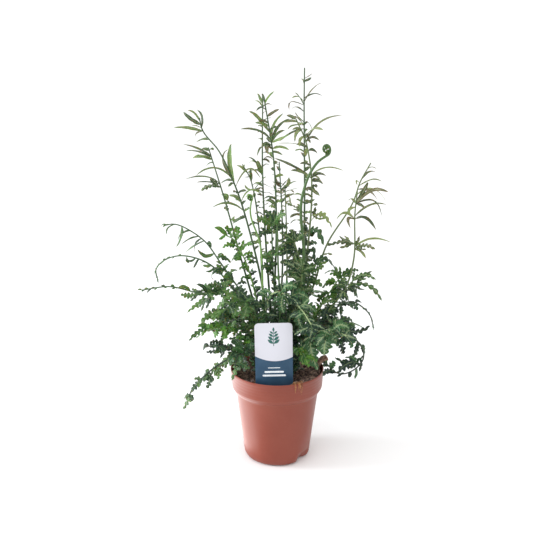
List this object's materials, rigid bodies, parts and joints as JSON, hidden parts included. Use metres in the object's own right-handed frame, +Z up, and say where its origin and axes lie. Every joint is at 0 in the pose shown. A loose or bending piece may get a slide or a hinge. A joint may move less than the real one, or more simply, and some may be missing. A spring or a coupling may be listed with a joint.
{
  "type": "potted fern",
  "caption": "Silver brake fern with upright narrow fronds and low striped fronds, in a tapered plastic nursery pot with a deep collar and a blank plant label.",
  "frame": {"origin": "centre of the pot's flat underside, on the surface that it stands on", "axes": "+Z up; the label at the front faces -Y; +X to the right as seen from the front"},
  "size_m": [0.3055, 0.1944, 0.4979],
  "materials": {
    "terracotta": "satin",
    "peat": "matte",
    "label_white": "satin",
    "bark": "matte",
    "root_fibre": "matte",
    "fern_green": "satin",
    "fern_dark": "satin",
    "fern_bright": "satin"
  },
  "bodies": {
    "root": {"pot": "terracotta", "soil": "peat", "label": "label_white", "bark_chip": "bark", "root_fibres": "root_fibre", "fertile_tall_centre": "fern_green", "fertile_tall_right": "fern_green", "fertile_tall_left": "fern_green", "fertile_tall_middle": "fern_green", "fertile_leaning_left": "fern_green", "fertile_leaning_left_low": "fern_green", "fertile_slim_left": "fern_green", "fertile_upright_right": "fern_green", "fertile_slanted_right": "fern_green", "fertile_slim_centre": "fern_green", "fertile_slim_right": "fern_green", "crozier_tall": "fern_bright", "crozier_lime": "fern_bright", "crozier_green": "fern_bright", "sterile_arch_left_high": "fern_green", "sterile_arch_left_middle": "fern_green", "sterile_arch_left_low": "fern_green", "sterile_low_left_broad": "fern_green", "sterile_low_left_bright": "fern_bright", "sterile_low_left_dark": "fern_dark", "sterile_trailing_left": "fern_green", "sterile_light_right_top": "fern_bright", "sterile_striped_right": "fern_green", "sterile_chain_right": "fern_dark", "sterile_palmate_right": "fern_dark", "sterile_pointed_right": "fern_dark", "sterile_loop_right": "fern_dark", "sterile_young_front": "fern_bright", "sterile_long_front": "fern_dark", "sterile_long_front_left": "fern_dark", "sterile_front_left": "fern_dark", "sterile_middle_striped": "fern_green", "sterile_middle_dark": "fern_dark", "sterile_middle_ribbed": "fern_green", "sterile_middle_forked": "fern_green", "sterile_bright_left": "fern_bright", "sterile_broad_middle": "fern_green", "sterile_rear_01": "fern_green", "sterile_rear_02": "fern_green", "sterile_rear_03": "fern_green", "sterile_rear_04": "fern_green", "sterile_rear_05": "fern_green", "sterile_rear_06": "fern_green", "sterile_rear_07": "fern_green", "sterile_rear_08": "fern_green"}
  },
  "joints": []
}
